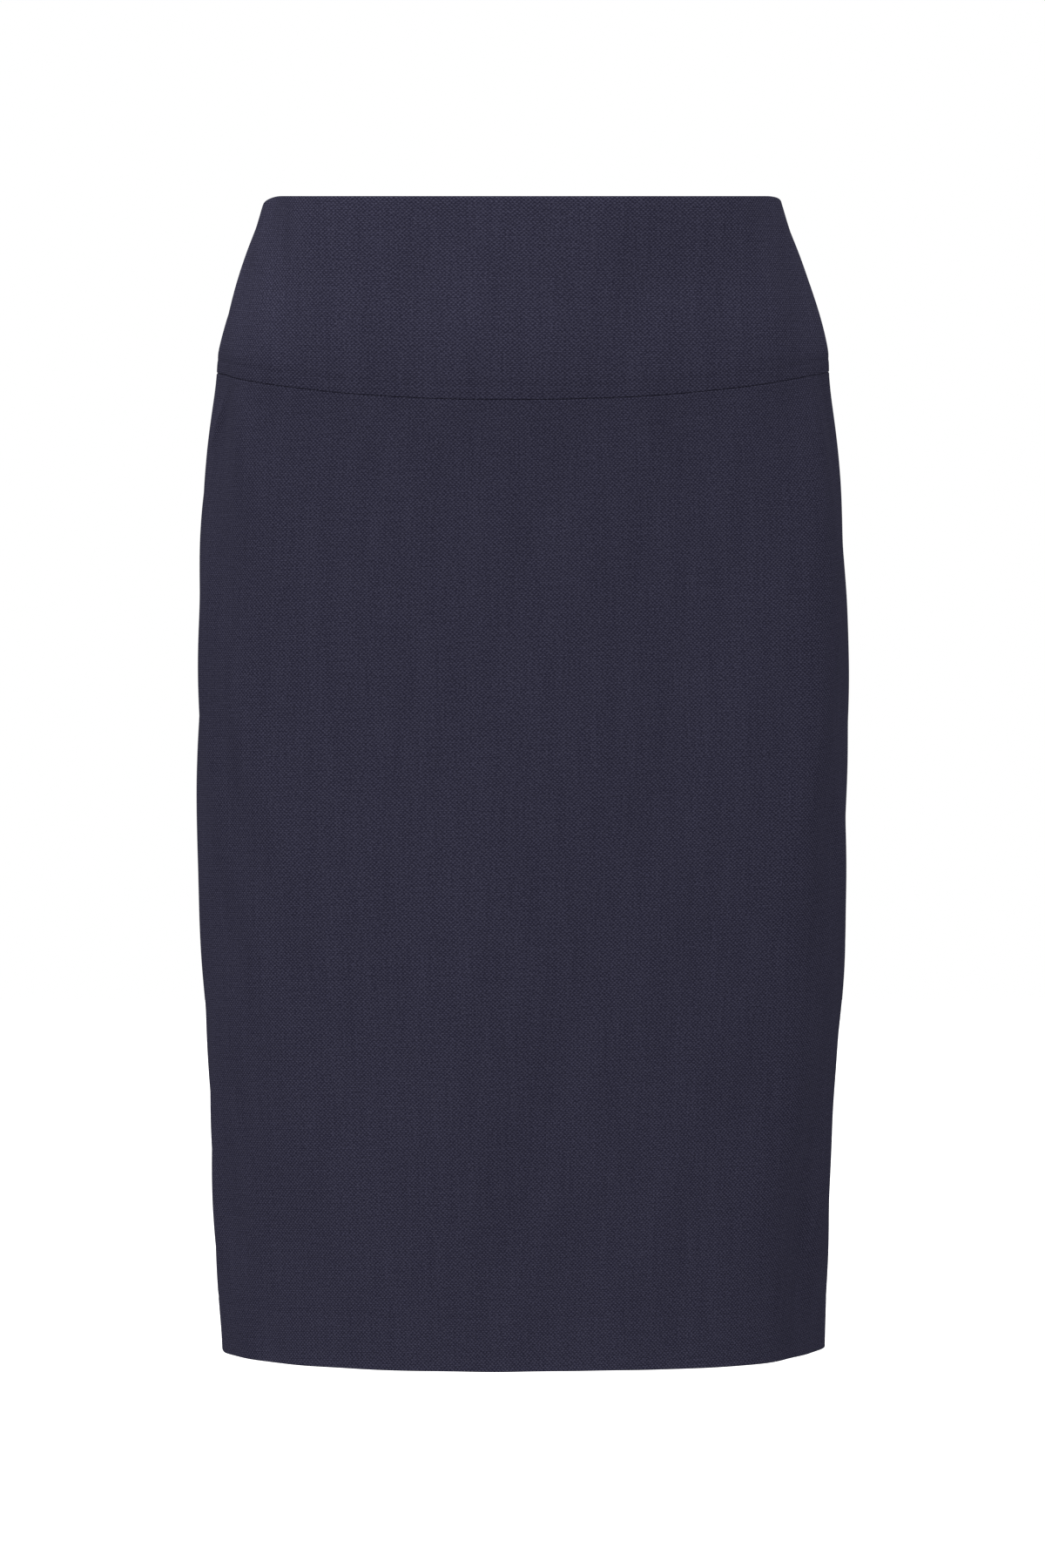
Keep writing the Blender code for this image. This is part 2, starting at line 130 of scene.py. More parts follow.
LEVELS = np.linspace(0, LENGTH, 621)  # a millimetre apart
STATIONS = np.linspace(0, 1, 361)  # shares of the way round from centre front to centre back
QUARTER_POINTS = 240  # that a quarter of an oval is worked out from
TANGENT_STEP = 0.001  # to either side of a place, to find which way the oval runs there


def from_table(rows, name, depth):
    """The named column of a table at these depths, on a smooth curve through its rows."""
    at = np.array([row.depth for row in rows])
    value = np.array([getattr(row, name) for row in rows])
    slope = np.gradient(value, at)
    i = np.clip(np.searchsorted(at, depth, side="right") - 1, 0, len(at) - 2)
    span = at[i + 1] - at[i]
    t = np.clip((depth - at[i]) / span, 0, 1)
    return (
        value[i] * (1 + 2 * t) * (1 - t) ** 2
        + value[i + 1] * (3 - 2 * t) * t**2
        + span * (slope[i] * t * (1 - t) ** 2 - slope[i + 1] * (1 - t) * t**2)
    )


def smooth_step(t):
    t = np.clip(t, 0, 1)
    return t * t * (3 - 2 * t)


def half_oval(depth):
    """The left half of an oval from the centre front round to the centre back: its points at
    even spacing, its length, and how far along it the side is."""
    turn = np.linspace(0, math.pi / 2, QUARTER_POINTS)
    across, along = np.sin(turn), np.cos(turn).clip(0)
    front_power = 2 / from_table(SECTIONS, "front_square", depth)
    back_power = 2 / from_table(SECTIONS, "back_square", depth)
    front_y = -from_table(SECTIONS, "front", depth) * along**front_power
    back_y = from_table(SECTIONS, "back", depth) * along**back_power
    x = np.concatenate([across**front_power, across[-2::-1] ** back_power])
    x *= from_table(SECTIONS, "half_width", depth)
    y = np.concatenate([front_y, back_y[-2::-1]])
    reach = np.concatenate([[0], np.cumsum(np.hypot(np.diff(x), np.diff(y)))])
    even = STATIONS * reach[-1]
    return np.interp(even, reach, x), np.interp(even, reach, y), reach[-1], reach[len(turn) - 1]


OVAL_X, OVAL_Y, HALF_GIRTH, SIDE = map(np.array, zip(*(half_oval(d) for d in LEVELS)))


def centre_back(depth):
    return np.interp(depth, LEVELS, HALF_GIRTH)


def on_oval(reach, depth):
    """The point at this reach, the distance along the oval from the centre front, positive round
    the wearer's left. A reach past the centre back goes on from the other side."""
    total = centre_back(depth)
    reach = (reach + total) % (2 * total) - total
    row = np.clip(depth / LENGTH, 0, 1) * (len(LEVELS) - 1)
    place = np.abs(reach) / total * (len(STATIONS) - 1)
    i = np.minimum(row.astype(int), len(LEVELS) - 2)
    j = np.minimum(place.astype(int), len(STATIONS) - 2)
    f, g = row - i, place - j

    def between(table):
        upper = table[i, j] * (1 - g) + table[i, j + 1] * g
        lower = table[i + 1, j] * (1 - g) + table[i + 1, j + 1] * g
        return upper * (1 - f) + lower * f

    return np.copysign(between(OVAL_X), reach), between(OVAL_Y)


def yoke_seam(reach):
    """Depth of the seam under the yoke, which dips to the centre front and the centre back."""
    x, y = on_oval(reach, np.full_like(reach, YOKE_AT_SIDE))
    half_width = from_table(SECTIONS, "half_width", YOKE_AT_SIDE)
    inside = 1 - np.abs(x / half_width) ** YOKE_DIP_POWER
    dip = np.where(y < 0, YOKE_FRONT_DIP, YOKE_BACK_DIP) * inside
    return YOKE_AT_SIDE + dip - YOKE_SLANT * x


def fold_height(reach, depth):
    """How far the folds raise the cloth here. Each fades out to its ends and its sides."""
    total = centre_back(depth)
    reach = (reach + total) % (2 * total) - total
    from_back = np.copysign(total, reach) - reach
    height = np.zeros_like(reach)
    for fold in FOLDS:
        middle = (fold.top + fold.bottom) / 2
        across = fold.across + fold.lean * (depth - middle)
        off = ((reach if fold.half == "front" else from_back) - across) / fold.width
        down = np.clip((depth - fold.top) / (fold.bottom - fold.top), 0, 1)
        height += fold.height * np.exp(-off * off / 2) * np.sin(math.pi * down) ** 2
    return height


# The cloth also swells and sinks a little all over, in waves that run this way and that.
Wave = namedtuple("Wave", "height across down start")  # across and down in turns for each metre
WAVES = [
    Wave(0.00058, 9.1, 3.2, 0.10),
    Wave(0.00053, -7.3, 5.9, 0.45),
    Wave(0.00046, 13.7, -4.1, 0.80),
    Wave(0.00038, 17.9, 6.7, 0.30),
    Wave(0.00028, -21.3, 8.3, 0.65),
    Wave(0.00022, 26.9, -11.9, 0.95),
]


def swell(reach, depth):
    turns = (w.across * reach + w.down * depth + w.start for w in WAVES)
    return sum(w.height * np.sin(2 * math.pi * t) for w, t in zip(WAVES, turns))


SHELF = 0.0015  # how far the allowances pressed up inside push the yoke out
SHELF_CREST = 0.0105  # how far above the seam it stands out most
SHELF_SOFTNESS = 0.13  # how gently it bends over at its crest, as a share of the crest's height
SHELF_FADE = 0.045  # how far above the crest it fades out
ALLOWANCE_PRINT = 0.00020  # depth of the line pressed through by the edge of the allowances
ALLOWANCE_PRINT_WIDTH = 0.0013
SEAM_DRAW = 0.0010  # how far the seam draws the panel in below it
SEAM_DRAW_RUN = 0.022  # where it is drawn in most, below the seam
HEM_PRINT = 0.00012  # depth of the line that the blind hem stitches draw in
HEM_PRINT_WIDTH = 0.0013
HEM_PRINT_SWING = 0.6  # how much deeper and shallower it gets on its way round
HEM_PRINT_BEATS = [(97, 0), (41, 1)]  # radians for each metre, and at the centre front
HEM_FLARE = 0.0013  # how far the hem's fold turns out, in front and behind
HEM_FLARE_RUN = 0.019  # above the hem, where that begins
HEM_FLARE_ACROSS = 0.15  # from the centre front or back, where it fades out
WAIST_ROLL = 0.0004  # how far the waist edge rolls in over the middle of the front
WAIST_ROLL_RUN = 0.0030  # below the waist edge, where that begins
WAIST_ROLL_REACH = 0.095  # from the centre front, where it fades out


def relief(reach, depth):
    """How far the cloth stands off the plain ovals: its folds, and what the iron has pressed
    through from behind."""
    above_seam = yoke_seam(reach) - depth
    up = above_seam.clip(0) / SHELF_CREST
    shelf = SHELF * (1 - SHELF_SOFTNESS * np.log1p(np.exp((1 - up) / SHELF_SOFTNESS)))
    shelf *= np.exp(-(((up - 1).clip(0) * SHELF_CREST / SHELF_FADE) ** 2))
    from_allowance = (above_seam - YOKE_ALLOWANCE) / ALLOWANCE_PRINT_WIDTH
    edge_print = ALLOWANCE_PRINT * np.exp(-(from_allowance**2))
    under = (-above_seam).clip(0) / SEAM_DRAW_RUN
    drawn_in = SEAM_DRAW * under * np.exp(1 - under)
    from_print = (LENGTH - HEM_TURN_UP - depth) / HEM_PRINT_WIDTH
    quick, slow = (np.sin(reach * rate + start) for rate, start in HEM_PRINT_BEATS)
    unevenness = 1 + HEM_PRINT_SWING * quick * slow
    hem_print = HEM_PRINT * unevenness * np.exp(-(from_print**2))
    x, _ = on_oval(reach, depth)
    flare = HEM_FLARE * (1 - (LENGTH - depth) / HEM_FLARE_RUN).clip(0) ** 3
    flare *= np.exp(-((x / HEM_FLARE_ACROSS) ** 4))
    in_middle = np.exp(-((reach / WAIST_ROLL_REACH) ** 2))
    roll = WAIST_ROLL * in_middle * (1 - depth / WAIST_ROLL_RUN).clip(0) ** 2
    pressed = shelf - edge_print - drawn_in - hem_print + flare - roll
    return fold_height(reach, depth) + swell(reach, depth) + pressed


def on_form(reach, depth, inward):
    """Points on the form, moved inward through the cloth by so much."""
    x, y = on_oval(reach, depth)
    ahead_x, ahead_y = on_oval(reach + TANGENT_STEP, depth)
    behind_x, behind_y = on_oval(reach - TANGENT_STEP, depth)
    out_x, out_y = ahead_y - behind_y, behind_x - ahead_x
    out = (relief(reach, depth) - inward) / np.hypot(out_x, out_y)
    return np.stack([x + out_x * out, y + out_y * out, -depth], axis=-1)


QUARTER_TURN = PRESSED * math.pi / 2  # cloth used up by half of a flat fold
UNDER = 2 * PRESSED + BETWEEN_LAYERS  # how far in a layer lies behind a folded one


def folded_back(past):
    """past is the distance along the cloth from the fold, negative on the part turned in. Gives
    the distance from the fold's line on the form, and how far inward the cloth is."""
    turn = np.clip(past, -QUARTER_TURN, QUARTER_TURN) / PRESSED
    along = PRESSED * (1 - np.cos(turn)) + np.maximum(np.abs(past) - QUARTER_TURN, 0)
    return along, PRESSED * (1 - np.sin(turn))


STEP_FROM = -0.0006  # where cloth that comes out from behind a folded edge begins to rise
STEP_TO = 0.0010  # and where it is level with it


def passed_under(past):
    """The same for cloth that goes on flat behind the folded edge it is sewn to."""
    return past, UNDER * (1 - smooth_step((past - STEP_FROM) / (STEP_TO - STEP_FROM)))


# An edge of a piece: the line it follows on the form, the distances from it at which the cloth is
# divided, and the shape it is pressed to. A top or bottom edge also has the depth near which it
# lies, and how far from it the allowances of the side edges are cut away.
Edge = namedtuple("Edge", "line steps shape level clear")

# Where the cloth is divided: beside an edge, either side of a line pressed through from behind,
# round a fold, and on the part that is turned in, as shares of the allowance.
BESIDE_EDGE = [0.0012, 0.0020, 0.0035, 0.0060, 0.0100]
AT_PRINT = [-0.0014, -0.0009, -0.0005, 0, 0.0005, 0.0009, 0.0014]
ROUND_FOLD = [*np.linspace(-QUARTER_TURN, QUARTER_TURN, 9)]
TURNED_IN = [1, 0.6, 0.25]
CLEAR_BEYOND = 0.003  # an allowance ends this far from the one that it would cross


def folded_edge(line, allowance, level=0.0, prints=False):
    """An edge that is turned in and pressed. If it prints, the end of its allowance shows from
    outside, and the cloth is divided more finely there."""
    turned_in = [-allowance * share for share in TURNED_IN]
    at_print = [allowance + step for step in AT_PRINT] if prints else []
    beside = sorted({*BESIDE_EDGE, *at_print})
    steps = np.array([*turned_in, *ROUND_FOLD, *beside])
    return Edge(line, steps, folded_back, level, allowance + CLEAR_BEYOND)


Lines = namedtuple("Lines", "share offset flat inward past")
CLOSER_AT_EDGES = 0.5  # how much closer the lines are beside an edge, as a share of their spacing


def lines_between(low, high, count):
    """The lines that divide a piece from one edge to the other. Each lies at a share of the way
    between the edges, moved by an offset on the form and by another on the flat cloth."""
    even = np.linspace(0, 1, count + 1)[1:-1]
    shares = even - CLOSER_AT_EDGES * np.sin(2 * math.pi * even) / (2 * math.pi)
    low_at, low_in = low.shape(low.steps)
    high_at, high_in = high.shape(high.steps)

    def all_across(low_part, high_part):
        middle = low_part[-1] * (1 - shares) - high_part[-1] * shares
        return np.concatenate([low_part, middle, -high_part[::-1]])

    return Lines(
        share=np.concatenate([low_at * 0, shares, high_at * 0 + 1]),
        offset=all_across(low_at, high_at),
        flat=all_across(low.steps, high.steps),
        inward=np.concatenate([low_in, shares * 0, high_in[::-1]]),
        past=np.concatenate([low.steps, shares * 0 + LENGTH, high.steps[::-1]]),
    )


def cut_away(across, down, top, bottom):
    """The cells of the grid that are cut off at the corners, so that no allowances pile up."""
    rows = np.arange(len(down.past))
    near_top = (rows < len(top.steps)) & (down.past < top.clear)
    near_bottom = (rows >= len(rows) - len(bottom.steps)) & (down.past < bottom.clear)
    row_clear = near_top | near_bottom
    allowance = across.past < 0
    return (row_clear[:-1] & row_clear[1:])[:, None] & (allowance[:-1] | allowance[1:])


# How a piece lies, row by row and line by line: each place's distance from the edge beside it,
# its share of the way across, its reach and depth on the form, where it is on the flat cloth,
# how far in its side edges' folds take it, how far in it is sunk, and which cells are cut away.
Lay = namedtuple("Lay", "past share reach depth flat pressed sunk removed")
SHARP = math.radians(50)  # corners over this, such as the cut edges, aren't shaded round


def cloth(
    name, left, right, top, bottom, columns, rows,
    behind=0.0, thickness=SUITING, eased=None, stretch=1.0, off_grain=0.0, change=None,
):
    """A piece of cloth laid on the form between four edges, left and right as seen from outside.
    eased is the depth whose width the weave keeps at every depth, stretch how much wider the iron
    has drawn it, and off_grain how far its weft rises towards the wearer's left."""
    across, down = lines_between(left, right, columns), lines_between(top, bottom, rows)
    share, row_share = across.share, down.share[:, None]

    def from_side_to_side(depth, offset):
        return left.line(depth) * (1 - share) + right.line(depth) * share + offset

    def from_top_to_bottom(offset):
        at_top = top.line(from_side_to_side(np.full_like(share, top.level), across.offset))
        at_bottom = bottom.line(from_side_to_side(np.full_like(share, bottom.level), across.offset))
        return at_top * (1 - row_share) + at_bottom * row_share + offset[:, None]

    depth, flat_down = from_top_to_bottom(down.offset), from_top_to_bottom(down.flat)
    lay = Lay(
        past=np.broadcast_to(across.past, depth.shape),
        share=np.broadcast_to(share, depth.shape),
        reach=from_side_to_side(depth, across.offset),
        depth=depth,
        flat=from_side_to_side(depth, across.flat),
        pressed=np.tile(across.inward, (len(depth), 1)),
        sunk=np.full_like(depth, behind),
        removed=cut_away(across, down, top, bottom),
    )
    if change:
        change(lay)
    still_single = (1 - down.inward / (2 * PRESSED)).clip(0)[:, None]
    inward = lay.sunk + down.inward[:, None] + lay.pressed * still_single
    flat_across = lay.flat / stretch
    if eased:
        level = np.full_like(depth, eased)
        width = right.line(depth) - left.line(depth)
        flat_across *= (right.line(level) - left.line(level)) / width

    # The grid's rows are laid from the hem up, so that its faces point outward.
    bpy.ops.mesh.primitive_grid_add(
        x_subdivisions=len(share) - 1, y_subdivisions=len(row_share) - 1, size=1
    )
    piece = bpy.context.object
    piece.name = piece.data.name = name
    mesh = piece.data
    mesh.vertices.foreach_set("co", on_form(lay.reach, depth, inward)[::-1].ravel())
    flat = np.stack([flat_across, -(flat_down + off_grain * flat_across)], axis=-1)[::-1]
    corner = np.empty(len(mesh.loops), int)
    mesh.loops.foreach_get("vertex_index", corner)
    mesh.uv_layers[0].name = "cut"
    mesh.uv_layers[0].data.foreach_set("uv", flat.reshape(-1, 2)[corner].ravel())
    bpy.ops.object.mode_set(mode="EDIT")
    bpy.ops.mesh.select_mode(type="FACE")
    bpy.ops.mesh.select_all(action="DESELECT")
    bpy.ops.object.mode_set(mode="OBJECT")
    mesh.polygons.foreach_set("select", lay.removed[::-1].ravel())
    bpy.ops.object.mode_set(mode="EDIT")
    bpy.ops.mesh.delete(type="FACE")
    bpy.ops.object.mode_set(mode="OBJECT")
    wall = piece.modifiers.new("thickness", "SOLIDIFY")
    wall.thickness = thickness
    wall.offset = -1
    bpy.ops.object.modifier_apply(modifier=wall.name)
    bpy.ops.object.shade_smooth_by_angle(angle=SHARP)
    piece.select_set(False)
    return piece


def right_side(depth):
    return from_table(SIDE_SEAMS, "right", depth) - np.interp(depth, LEVELS, SIDE)


def left_side(depth):
    return np.interp(depth, LEVELS, SIDE) - from_table(SIDE_SEAMS, "left", depth)


def hem(reach):
    return np.full_like(reach, LENGTH)


# The panel's top edge goes on flat behind the yoke's fold, and comes out from under it.
UNDER_THE_YOKE = [-YOKE_ALLOWANCE, -0.0030, *np.linspace(STEP_FROM, STEP_TO, 9)]
TOP_OF_PANEL = Edge(
    yoke_seam,
    steps=np.array([*UNDER_THE_YOKE, *BESIDE_EDGE]),
    shape=passed_under,
    level=YOKE_AT_SIDE,
    clear=CLEAR_BEYOND,
)
HEM = folded_edge(hem, HEM_TURN_UP, LENGTH, prints=True)
HIP = 0.260  # depth of the widest place
WEFT_RISE = math.tan(math.radians(3))  # the panel hangs a little off the grain

front_panel = cloth(
    "front_panel",
    left=folded_edge(right_side, SEAM_ALLOWANCE),
    right=folded_edge(left_side, SEAM_ALLOWANCE),
    top=TOP_OF_PANEL,
    bottom=HEM,
    columns=150,
    rows=130,
    eased=HIP,
    off_grain=WEFT_RISE,
)


# Worsted birdseye: a fine, smooth wool in dark navy, woven so that small light dots of the weft
# stand in offset rows. To the eye it is matt, with a faint bloom of fibre where it turns away.


def linear(code):
    """A hex colour, as screens show it, in linear values."""
    parts = [int(code[i : i + 2], 16) / 255 for i in (1, 3, 5)]
    return [p / 12.92 if p < 0.04045 else ((p + 0.055) / 1.055) ** 2.4 for p in parts] + [1]


def node(material, kind, inputs=(), **settings):
    """Adds a node with its settings. inputs gives a value or another node's output by socket."""
    made = material.node_tree.nodes.new(kind)
    for key, value in settings.items():
        setattr(made, key, value)
    for socket, value in dict(inputs).items():
        if isinstance(value, bpy.types.NodeSocket):
            material.node_tree.links.new(value, made.inputs[socket])
        else:
            made.inputs[socket].default_value = value
    return made


def finish(name, **settings):
    """A new material, with settings of its shader that are the same all over."""
    material = bpy.data.materials.new(name)
    material.use_nodes = True
    shader = material.node_tree.nodes["Principled BSDF"]
    for socket, value in settings.items():
        shader.inputs[socket.replace("_", " ")].default_value = value
    return material, shader


DOT_ACROSS = 0.00221  # from one dot to the next in its row
DOT_DOWN = 0.00204  # between rows in line, with an offset row half way between them
ROW_WEIGHT = 0.9  # how much the weft shows along a row, where a dot is 1
GROUND = "#201F2C"
DOT = "#3F3E4F"
ALL_GROUND = -0.68  # the weave's sum up to which only the ground's colour shows
ALL_DOT = 2.37  # and from which only the dot's does
YARN_HEIGHT = 0.00008  # how far a dot stands up from the ground
YARN_BUMP = 0.5
STRAY_PATCHES = 260.0  # in a metre, so the yarns stray together over about 4 mm
STRAY = (0.0009, 0.0006, 0)  # the span that they stray over, across and down

# What makes the weave uneven, by how many patches there are in a metre and how much they count.
Uneven = namedtuple("Uneven", "across down strength")
UNEVENNESS = {
    "fibres": Uneven(1500, 1500, 2.2),  # 0.7 mm: tufts of fibre on the yarn
    "dots": Uneven(750, 750, 2.2),  # 1.3 mm: a dot on its own, lighter or darker
    "warp": Uneven(900, 26, 0.62),  # 1.1 x 38 mm: thick and thin places down a yarn
    "weft": Uneven(36, 700, 0.44),  # 28 x 1.4 mm: the same across the cloth
    "cloudiness": Uneven(100, 14, 0.33),  # 10 x 70 mm: of the whole cloth, from its finishing
}

suiting, shader = finish(
    "birdseye_suiting_worsted_wool",
    Roughness=0.82,
    Sheen_Weight=0.004,
    Sheen_Roughness=0.5,
    Specular_IOR_Level=0.0,
)
place = node(suiting, "ShaderNodeUVMap", uv_map="cut").outputs[0]
stray = node(
    suiting, "ShaderNodeTexNoise", {"Vector": place, "Scale": STRAY_PATCHES, "Detail": 2.0}
)
strayed = node(
    suiting,
    "ShaderNodeVectorMath",
    {0: stray.outputs["Color"], 1: STRAY, 2: place},
    operation="MULTIPLY_ADD",
)
turns = node(
    suiting,
    "ShaderNodeVectorMath",
    {0: strayed.outputs[0], 1: (2 * math.pi / DOT_ACROSS, 2 * math.pi / DOT_DOWN, 0)},
    operation="MULTIPLY",
)
turn = node(suiting, "ShaderNodeSeparateXYZ", {0: turns.outputs[0]})
across = node(suiting, "ShaderNodeMath", {0: turn.outputs[0]}, operation="COSINE")
down = node(suiting, "ShaderNodeMath", {0: turn.outputs[1]}, operation="COSINE")
rows = node(suiting, "ShaderNodeMath", {0: down.outputs[0], 1: 2.0}, operation="POWER")
weave = node(
    suiting, "ShaderNodeMath", {0: across.outputs[0], 1: down.outputs[0]}, operation="MULTIPLY"
)
weave = node(
    suiting,
    "ShaderNodeMath",
    {0: rows.outputs[0], 1: ROW_WEIGHT, 2: weave.outputs[0]},
    operation="MULTIPLY_ADD",
)
for uneven in UNEVENNESS.values():
    spread = node(
        suiting, "ShaderNodeMapping", {"Vector": place, "Scale": (uneven.across, uneven.down, 1)}
    )
    noise = node(
        suiting, "ShaderNodeTexNoise", {"Vector": spread.outputs[0], "Scale": 1.0, "Detail": 1.0}
    )
    swing = node(suiting, "ShaderNodeMath", {0: noise.outputs[0], 1: 0.5}, operation="SUBTRACT")
    weave = node(
        suiting,
        "ShaderNodeMath",
        {0: swing.outputs[0], 1: uneven.strength, 2: weave.outputs[0]},
        operation="MULTIPLY_ADD",
    )
dots = node(
    suiting,
    "ShaderNodeMapRange",
    {"Value": weave.outputs[0], "From Min": ALL_GROUND, "From Max": ALL_DOT},
    interpolation_type="SMOOTHSTEP",
)
mixed = node(
    suiting,
    "ShaderNodeMix",
    {"Factor": dots.outputs[0], 6: linear(GROUND), 7: linear(DOT)},
    data_type="RGBA",
)
suiting.node_tree.links.new(mixed.outputs[2], shader.inputs["Base Color"])
yarns = node(
    suiting,
    "ShaderNodeBump",
    {"Height": dots.outputs[0], "Strength": YARN_BUMP, "Distance": YARN_HEIGHT},
)
suiting.node_tree.links.new(yarns.outputs[0], shader.inputs["Normal"])


def dress(piece, material, slot, *solids, body="skirt"):
    """Gives a finished piece its material, ties it to its body and hides the solids it stands for.
    """
    piece.data.materials.clear()
    piece.data.materials.append(material)
    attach(piece, body)
    if solids:
        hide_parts(*solids)


dress(front_panel, suiting, "suiting", "skirt_front")


# ==== Front yoke =================================================================================
# The deep shaped waist piece of the front, in the same suiting. Its waist edge is turned in and
# pressed. Its lower edge laps over the front panel, with the allowances pressed up behind it.

WAIST_SIDE_DROP = 0.0072  # the waist edge at the sides, below the front
WAIST_DROP_RUN = 0.036  # how far in front of the side that drop begins
WAIST_DROP_POWER = 2.2
WAIST_BACK_DROP = 0.0107  # the waist edge at the centre back, below the front
WAIST_BACK_RUN = 0.018  # behind the side, how soon it gets there
WAIST_TURN_IN = 0.010
YOKE_STRETCH = 1.077  # the shaped yoke is drawn wider over the hips
YOKE_WEFT_RISE = math.tan(math.radians(-1))  # and hangs a little off the grain the other way


def waist_edge(reach):
    """Depth of the waist edge, which drops at the sides and a little more behind them."""
    before_side = SIDE[0] - np.abs(reach)
    in_front = WAIST_SIDE_DROP * (1 - before_side / WAIST_DROP_RUN).clip(0, 1) ** WAIST_DROP_POWER
    past = 1 - np.exp(np.minimum(before_side, 0) / WAIST_BACK_RUN)
    behind = WAIST_SIDE_DROP + (WAIST_BACK_DROP - WAIST_SIDE_DROP) * past
    return np.where(before_side < 0, behind, in_front)


WAIST = folded_edge(waist_edge, WAIST_TURN_IN)
BOTTOM_OF_YOKE = folded_edge(yoke_seam, YOKE_ALLOWANCE, YOKE_AT_SIDE, prints=True)

front_yoke = cloth(
    "front_yoke",
    left=folded_edge(right_side, SEAM_ALLOWANCE),
    right=folded_edge(left_side, SEAM_ALLOWANCE),
    top=WAIST,
    bottom=BOTTOM_OF_YOKE,
    columns=150,
    rows=40,
    stretch=YOKE_STRETCH,
    off_grain=YOKE_WEFT_RISE,
)
dress(front_yoke, suiting, "suiting", "yoke_front")


# ==== Back yokes =================================================================================
# The left and right halves of the back waist. They meet on the zip at the centre back, with their
# edges turned in, and stand a little apart beside the slider.

NOTCH = 0.0009  # half the gap at the centre back, beside the slider
NOTCH_FULL_TO = 0.019  # depth down to which it is that wide
NOTCH_GONE_AT = 0.029  # depth at which the seam is closed again


def left_yoke_edge(depth):
    closed = smooth_step((depth - NOTCH_FULL_TO) / (NOTCH_GONE_AT - NOTCH_FULL_TO))
    return centre_back(depth) - NOTCH * (1 - closed)


def right_yoke_edge(depth):
    return -left_yoke_edge(depth)


left_back_yoke = cloth(
    "left_back_yoke",
    left=folded_edge(left_side, SEAM_ALLOWANCE),
    right=folded_edge(left_yoke_edge, SEAM_ALLOWANCE),
    top=WAIST,
    bottom=BOTTOM_OF_YOKE,
    columns=62,
    rows=40,
    stretch=YOKE_STRETCH,
)
dress(left_back_yoke, suiting, "suiting", "yoke_back_left")

right_back_yoke = cloth(
    "right_back_yoke",
    left=folded_edge(right_yoke_edge, SEAM_ALLOWANCE),
    right=folded_edge(right_side, SEAM_ALLOWANCE),
    top=WAIST,
    bottom=BOTTOM_OF_YOKE,
    columns=62,
    rows=40,
    stretch=YOKE_STRETCH,
)
dress(right_back_yoke, suiting, "suiting", "yoke_back_right")


# ==== Back panels ================================================================================
# The left and right halves of the back, seamed on the centre back down to the vent. There the left
# one has its facing turned in and laps over, and the right one goes on under it as the underlap.

VENT_TOP = 0.430  # depth at which the back vent opens
VENT_FACING = 0.030
UNDERLAP = 0.040  # width of the vent's underlap
UNDERLAP_INWARD = 0.0021  # how far in it lies, behind the left panel's facing
UNDERLAP_SLANT = 0.015  # how far its top edge drops on the way to its free side
TUCK_RUN = 0.010  # over this width the right panel steps in to pass under the left
TUCK_RISE = 0.010  # above the vent, where it begins to


def widen_into_facing(lay):
    """Below the top of the vent the allowance that the left panel turns in is wider."""
    turned_in = (-lay.past - QUARTER_TURN).clip(0)
    in_vent = (lay.share == 1) & (lay.depth > VENT_TOP)
    extra = np.where(in_vent, turned_in * (VENT_FACING / SEAM_ALLOWANCE - 1), 0)
    lay.reach[...] -= extra
    lay.flat[...] += extra


def run_on_as_underlap(lay):
    """Below the top of the vent the right panel runs on flat, past the centre back and under the
    left one. A snip at that height frees it from the turned-in allowance above."""
    at_seam = lay.share == 0
    in_vent = at_seam & (lay.depth > VENT_TOP)
    beyond = lay.past.clip(None, 0) * (UNDERLAP / SEAM_ALLOWANCE - 1)
    total = centre_back(lay.depth)
    lay.reach[in_vent] = (lay.past - total + beyond)[in_vent]
    lay.flat[in_vent] += beyond[in_vent]
    lay.pressed[in_vent] = 0
    into_seam = smooth_step(1 - (lay.reach + total) / TUCK_RUN)
    down = smooth_step((lay.depth - VENT_TOP) / TUCK_RISE + 1)
    lay.sunk[...] += UNDERLAP_INWARD * into_seam * down
    row_in_vent = (lay.depth > VENT_TOP)[:, 0]
    allowance = (at_seam & (lay.past < 0))[0, :-1]
    whole = (row_in_vent[:-1] & row_in_vent[1:])[:, None] & allowance
    snipped = (row_in_vent[:-1] != row_in_vent[1:])[:, None] & allowance
    lay.removed[...] = (lay.removed & ~whole) | snipped
    up_from_hem = 1 - (lay.depth - VENT_TOP) / (LENGTH - VENT_TOP)
    outward = (-lay.past / SEAM_ALLOWANCE).clip(0)
    lay.depth[in_vent] += (UNDERLAP_SLANT * outward * up_from_hem.clip(0))[in_vent]


def right_centre_back(depth):
    return -centre_back(depth)


left_back_panel = cloth(
    "left_back_panel",
    left=folded_edge(left_side, SEAM_ALLOWANCE),
    right=folded_edge(centre_back, SEAM_ALLOWANCE),
    top=TOP_OF_PANEL,
    bottom=HEM,
    columns=62,
    rows=130,
    eased=HIP,
    change=widen_into_facing,
)
dress(left_back_panel, suiting, "suiting", "skirt_back_left")

right_back_panel = cloth(
    "right_back_panel",
    left=folded_edge(right_centre_back, SEAM_ALLOWANCE),
    right=folded_edge(right_side, SEAM_ALLOWANCE),
    top=TOP_OF_PANEL,
    bottom=HEM,
    columns=62,
    rows=130,
    eased=HIP,
    change=run_on_as_underlap,
)
dress(right_back_panel, suiting, "suiting", "skirt_back_right")


# ==== Concealed zip: tapes =======================================================================
# Two woven polyester tapes, sewn to the turned-in edges of the centre back. They lie inside, edge
# to edge, so that nothing of them shows from outside.

